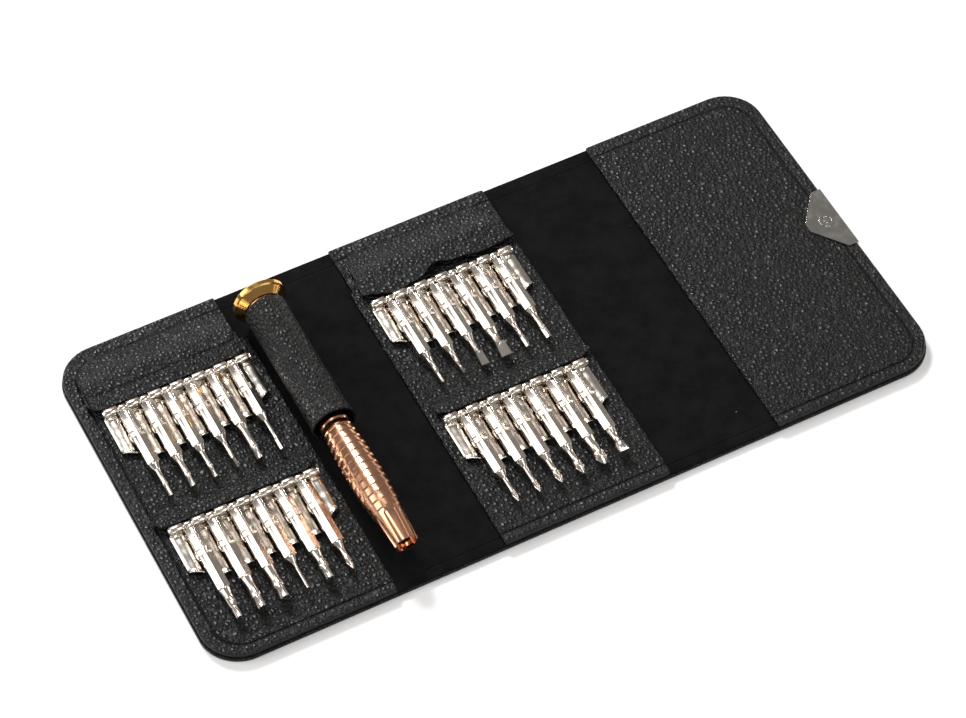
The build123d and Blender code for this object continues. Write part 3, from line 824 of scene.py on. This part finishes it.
rackPlan = {
    "clips": 6, "fixed": 4.0, "swing": 2.3, "gap": 0.25, "pitch": 6.8,
    "radius": 1.6, "swingRadius": 1.3,
}
knucklePlan = {
    # degrees
    "step": 7.5, "seam": 118.0, "clear": 12, "lip": 10, "slit": 7, "sharpAbove": 40,
    # millimetres
    "slitDepth": 0.5, "ends": ((0.0, 0.22), (0.08, 0.08), (0.22, 0.0)),
}
tonguePlan = {
    "columns": 8, "rows": 24, "thickness": 0.4, "edge": 0.1, "rise": 0.5,
    "lip": 0.45, "lipStart": 0.93, "dent": (0.05, 3.0, 5.0),
}
tongueShapes = {
    "tongues": {"x0": 0.75, "x1": 3.25, "top": -0.9, "lowLeft": -18.9, "lowRight": -18.9, "arch": 0.3},
    "leftTab": {"x0": -0.5, "x1": 3.3, "top": -0.8, "lowLeft": -14.2, "lowRight": -16.0, "arch": 0.5},
    # these two reach to the rack's far end, so x1 is measured from there
    "rightTab": {"x0": -2.9, "x1": 0.2, "top": -0.8, "lowLeft": -15.0, "lowRight": -13.4, "arch": 0.4},
    "backBar": {"x0": 0.4, "x1": -0.4, "top": -1.9, "lowLeft": -3.2, "lowRight": -3.2, "arch": 0.0},
}


def rolledKnuckle(name, length, radius, materials):
    # rolled sheet about X, with the dark seam where its edge closes
    step, seam = knucklePlan["step"], knucklePlan["seam"]
    lip, slit = knucklePlan["lip"], knucklePlan["slit"]
    angles = [k * step for k in range(round(360 / step)) if abs(k * step - seam) > knucklePlan["clear"]]
    angles = sorted(angles + [seam - lip, seam - slit, seam + slit, seam + lip])
    ends = knucklePlan["ends"]
    rings = []
    for x, inset in ends + tuple((length - x, inset) for x, inset in reversed(ends)):
        ring = []
        for angle in angles:
            r = radius - inset - (knucklePlan["slitDepth"] if abs(angle - seam) <= slit else 0.0)
            turn = math.radians(angle)
            ring.append((x, r * math.cos(turn), r * math.sin(turn)))
        rings.append(ring)
    return sharpen(loftPiece(name, rings, materials), knucklePlan["sharpAbove"])


def tongue(name, x0, x1, material):
    shape = tongueShapes[name]
    top, lowLeft, lowRight = shape["top"], shape["lowLeft"], shape["lowRight"]

    def place(u, v):
        low = lowLeft + (lowRight - lowLeft) * u
        y = top + (low - top) * v
        lip = tonguePlan["lip"] * smoothStep(tonguePlan["lipStart"], 1.0, v)
        arch = shape["arch"] * (1 - (2 * u - 1) ** 2)
        dent = waves(x0 + y, y, [tonguePlan["dent"]])
        return (x0 + (x1 - x0) * u, y, tonguePlan["rise"] + arch + lip + dent)

    columns, rows, thickness, edge = (tonguePlan[key] for key in ("columns", "rows", "thickness", "edge"))
    return sheetGrid(name, columns, rows, place, thickness, [material], edge)


def makeRack(side, row, body):
    node = f"{side}_{row}_rack"
    low, high = lowHigh(node)
    # the tongues and back bar take the darker copy of the nickel: painted shade
    nickel, shaded = metals["nickel_plate"], metals["tongue_nickel"]
    count, pitch, radius = rackPlan["clips"], rackPlan["pitch"], rackPlan["radius"]
    end = count * pitch + rackPlan["fixed"]
    knuckle = carry(rolledKnuckle(node + "_nickel", rackPlan["fixed"], radius, [nickel]), 0, 0, radius)
    middle, left, right, bar = (tongueShapes[name] for name in ("tongues", "leftTab", "rightTab", "backBar"))
    tongues = carry(tongue("tongues", middle["x0"], middle["x1"], shaded), pitch, 0, 0)
    parts = [
        repeatInRow(knuckle, count + 1, (pitch, 0, 0), nickel),
        repeatInRow(tongues, count - 1, (pitch, 0, 0), shaded),
        tongue("leftTab", left["x0"], left["x1"], nickel),
        tongue("rightTab", end + right["x0"], end + right["x1"], nickel),
        tongue("backBar", bar["x0"], end + bar["x1"], shaded),
    ]
    piece = carry(joinPieces(node + "_nickel", parts), low.x, high.y - radius, low.z)
    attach(piece, body)
    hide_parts(node)
    return low.x, high.y - radius, low.z + radius


def hexagonPoint(flats, angle):
    # point of a hexagon that stands on a corner, in the direction of one angle
    turn = (angle + 30) % 60 - 30
    r = flats / 2 / math.cos(math.radians(turn))
    return r * math.cos(math.radians(angle)), r * math.sin(math.radians(angle))


clipPlan = {
    "rise": 1.1, "steps": 48, "sheetEdge": 0.07, "neckEdge": 0.3, "bitSharpAbove": 17,
    # start and end along Y, flats inside and outside, degrees open on each side of the top
    "shell": (-2.5, -12.4, 3.66, 3.94, 14), "collar": (-10.2, -12.2, 3.9, 4.3, 24),
    "ear": {
        "x": 1.8, "y": -11.0, "z": -0.45, "width": 0.7, "length": 1.75, "height": 0.42,
        "rings": 8, "sides": 12, "smallest": 0.05,
    },
}


def clipShell(name, materials):
    # bent sheet round the hexagon, open along its top
    y0, y1, inner, outer, opening = clipPlan[name]
    steps = clipPlan["steps"]
    angles = [90 + opening + (360 - 2 * opening) * k / steps for k in range(steps + 1)]
    ring = [hexagonPoint(outer, a) for a in angles] + [hexagonPoint(inner, a) for a in reversed(angles)]
    rings = [[(x, y, z + clipPlan["rise"]) for x, z in ring] for y in (y0, y1)]
    return soften(loftPiece(name, rings, materials), clipPlan["sheetEdge"])


def roundedBlock(name, sections, materials, width):
    # sections along Y: (y, half width, low z, high z)
    rings = [[(-h, y, z0), (h, y, z0), (h, y, z1), (-h, y, z1)] for y, h, z0, z1 in sections]
    return soften(loftPiece(name, rings, materials), width)


def clipEar(name, side, materials):
    ear = clipPlan["ear"]
    rings = []
    for k in range(ear["rings"] + 1):
        turn = math.radians(180 * k / ear["rings"])
        size = max(ear["smallest"], math.sin(turn))
        y = ear["y"] - ear["length"] * math.cos(turn)
        ring = []
        for a in (j * math.pi / (ear["sides"] / 2) for j in range(ear["sides"])):
            x = side * ear["x"] + ear["width"] * size * math.cos(a)
            ring.append((x, y, clipPlan["rise"] + ear["z"] + ear["height"] * size * math.sin(a)))
        rings.append(ring)
    return loftPiece(name, rings, materials)


def connectedGroups(shape):
    waiting = set(shape.verts)
    groups = []
    while waiting:
        found = {waiting.pop()}
        edge = list(found)
        while edge:
            vert = edge.pop()
            for link in vert.link_edges:
                other = link.other_vert(vert)
                if other in waiting:
                    waiting.discard(other)
                    found.add(other)
                    edge.append(other)
        groups.append(found)
    return groups


def bitFromFrame(node, name):
    # the bit is the solid of its node that reaches furthest towards -Y
    shape = bmesh.new()
    shape.from_mesh(frame["nodes"][node].data)
    bmesh.ops.remove_doubles(shape, verts=shape.verts, dist=0.002 * mm)
    keep = min(connectedGroups(shape), key=lambda group: min(v.co.y for v in group))
    bmesh.ops.delete(shape, geom=[v for v in shape.verts if v not in keep], context="VERTS")
    mesh = bpy.data.meshes.new(name)
    shape.to_mesh(mesh)
    shape.free()
    mesh.materials.append(metals["nickel_plate"])
    shadeSmooth(mesh)
    return sharpen(addObject(name, mesh), clipPlan["bitSharpAbove"])


def makeClip(node, body, pin, place):
    nickel = [metals["nickel_plate"]]
    swing = rackPlan["swing"]
    half = swing / 2
    neck = [(-0.9, half - 0.1, -0.4, 1.0), (-1.9, half + 0.15, -0.6, 2.3), (-2.9, 1.6, -0.7, 2.7)]
    parts = [
        carry(rolledKnuckle("swingKnuckle", swing, rackPlan["swingRadius"], nickel), -half, 0, 0),
        roundedBlock("neck", neck, nickel, clipPlan["neckEdge"]),
        clipShell("shell", nickel),
        clipShell("collar", nickel),
        clipEar("leftEar", -1, nickel),
        clipEar("rightEar", 1, nickel),
    ]
    clip = carry(joinPieces(node + "_clip_nickel", parts), place, pin[1], pin[2])
    bit = bitFromFrame(node, node + "_bit_nickel")
    both = joinPieces(node + "_nickel", [clip, bit])
    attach(both, body)
    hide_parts(node)


def makeRacksAndClips():
    names = [row["node"] for row in frame["record"]["subparts"]]
    firstClip = rackPlan["fixed"] + rackPlan["gap"] + rackPlan["swing"] / 2
    for side, panel in (("left", "left_panel"), ("centre", "centre_panel")):
        for row in ("top", "low"):
            pin = makeRack(side, row, panel)
            for n in range(rackPlan["clips"]):
                node = next(name for name in names if name.startswith(f"{side}_{row}_{n + 1}_"))
                place = pin[0] + firstClip + n * rackPlan["pitch"]
                makeClip(node, f"{side}_{row}_{n + 1}_clip", pin, place)
    print("racks, clips and bits made")


makeRacksAndClips()


sleevePlan = {
    "wall": 0.8, "waist": 0.1, "steps": 30, "segments": 96, "uneven": 0.1,
    # (distance along Y, change of radius) outside at the cap end and mouth, then inside them
    "capEnd": ((0.0, -0.35), (0.15, -0.1), (0.5, 0.0)),
    "mouth": ((2.6, 0.05), (1.2, 0.25), (0.3, 0.4), (0.0, 0.3)),
    "inside": ((0.0, 0.65), (0.4, 0.35), (1.5, 0.1), (3.5, 0.0)),
    "bore": ((0.3, 0.0), (0.0, 0.15)), "capSpare": 0.5, "mouthSpare": 4.0,
    "footHalf": 1.6, "footSpare": 0.5, "footUnder": 0.2, "footEdge": 0.2,
}


def latheY(name, profile, materials, segments, shape):
    # closed profile of (y, radius) about Y: shape changes a radius by its angle
    rings = []
    for y, radius in profile:
        ring = []
        for k in range(segments):
            turn = 2 * math.pi * k / segments
            r = shape(y, turn, radius)
            ring.append((r * math.cos(turn), y, r * math.sin(turn)))
        rings.append(ring[::-1])
    return loftPiece(name, rings, materials, False)


def makeSleeve():
    low, high = lowHigh("handle_sleeve")
    outer = (high.x - low.x) / 2
    inner = outer - sleevePlan["wall"]
    middle = ((low.x + high.x) / 2, high.z - outer)
    steps = sleevePlan["steps"]
    # outside from the cap end to the mouth, then back along the bore
    profile = [(high.y - y, outer + r) for y, r in sleevePlan["capEnd"]]
    for k in range(1, steps + 1):
        waist = sleevePlan["waist"] * math.sin(math.pi * k / steps)
        along = (high.y - low.y - sleevePlan["mouthSpare"]) * k / steps
        profile.append((high.y - sleevePlan["capSpare"] - along, outer - waist))
    profile += [(low.y + y, outer + r) for y, r in sleevePlan["mouth"]]
    profile += [(low.y + y, inner + r) for y, r in sleevePlan["inside"]]
    profile += [(high.y - y, inner + r) for y, r in sleevePlan["bore"]] + [profile[0]]

    def uneven(y, turn, radius):
        return radius + sleevePlan["uneven"] * ripple(y + 30, turn * 5, 7.0, 11.0)

    tube = latheY("handle_sleeve_leather", profile, [leather], sleevePlan["segments"], uneven)
    tube = carry(tube, middle[0], 0, middle[1])
    spare, top = sleevePlan["footSpare"], middle[1] - inner - sleevePlan["footUnder"]
    ends = [(y, sleevePlan["footHalf"], low.z, top) for y in (low.y + spare, high.y - spare)]
    foot = carry(roundedBlock("foot", ends, [leather], sleevePlan["footEdge"]), middle[0], 0, 0)
    both = joinPieces("handle_sleeve_leather", [tube, foot])
    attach(both, "handle_strip")
    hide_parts("handle_sleeve")
    print("sleeve made")


makeSleeve()


def makeCamera():
    look = {
        "lens": 130.43, "azimuth": -26.634, "elevation": 53.062, "roll": -0.756,
        "distance": 1004.2, "target": (-2.03, 3.72, 0.0),
    }
    azimuth, elevation, roll = (math.radians(look[k]) for k in ("azimuth", "elevation", "roll"))
    level = math.cos(elevation)
    back = Vector((math.sin(azimuth) * level, -math.cos(azimuth) * level, math.sin(elevation)))
    right = Vector((0, 0, 1)).cross(back).normalized()
    up = back.cross(right)
    across = right * math.cos(roll) + up * math.sin(roll)
    above = up * math.cos(roll) - right * math.sin(roll)
    camera = addObject("camera", bpy.data.cameras.new("camera"))
    camera.data.lens = look["lens"]
    camera.data.sensor_width = 36.0
    camera.data.clip_start = 0.01
    camera.data.clip_end = 20.0
    turn = Matrix((across, above, back)).transposed().to_4x4()
    place = (Vector(look["target"]) + back * look["distance"]) * mm
    camera.matrix_world = Matrix.Translation(place) @ turn
    bpy.context.scene.camera = camera


def makeFloor():
    bpy.ops.mesh.primitive_plane_add(size=6.0, location=(0, 0, 0))
    floor = bpy.context.object
    floor.name = "floor"
    material, _, shader = newMaterial("paleFloor")
    shader.inputs["Base Color"].default_value = (0.93, 0.93, 0.93, 1.0)
    shader.inputs["Roughness"].default_value = 0.9
    shader.inputs["Specular IOR Level"].default_value = 0.0
    floor.data.materials.append(material)


def areaLight(name, place, size, power, colour=(1, 1, 1)):
    light = bpy.data.lights.new(name, "AREA")
    light.shape = "RECTANGLE"
    light.size, light.size_y = size
    light.energy = power
    light.color = colour
    holder = addObject(name, light)
    holder.location = place
    holder.rotation_mode = "QUATERNION"
    holder.rotation_quaternion = (-Vector(place)).to_track_quat("-Z", "Y")


def makeLight():
    # place and size in metres, power in watts
    areaLight("keySoftbox", (0.0, 1.35, 1.15), (0.45, 0.35), 26.0)
    areaLight("leftSoftbox", (-1.5, 0.7, 1.2), (1.4, 1.5), 18.0)
    areaLight("overheadSoftbox", (0.44, -0.45, 1.4), (0.22, 1.3), 5.0)
    areaLight("frontSoftbox", (-0.5, -1.3, 1.5), (0.8, 0.5), 12.0)
    areaLight("sideCard", (1.3, 0.35, 0.6), (0.25, 0.6), 2.0, (1.0, 0.86, 0.74))
    world = bpy.data.worlds.new("studio")
    bpy.context.scene.world = world
    world.use_nodes = True
    background = world.node_tree.nodes["Background"]
    background.inputs["Color"].default_value = (1.0, 0.96, 0.92, 1.0)
    background.inputs["Strength"].default_value = 0.2
    bpy.context.scene.view_settings.view_transform = "Standard"


makeCamera()
makeFloor()
makeLight()
print("camera, floor and light made")
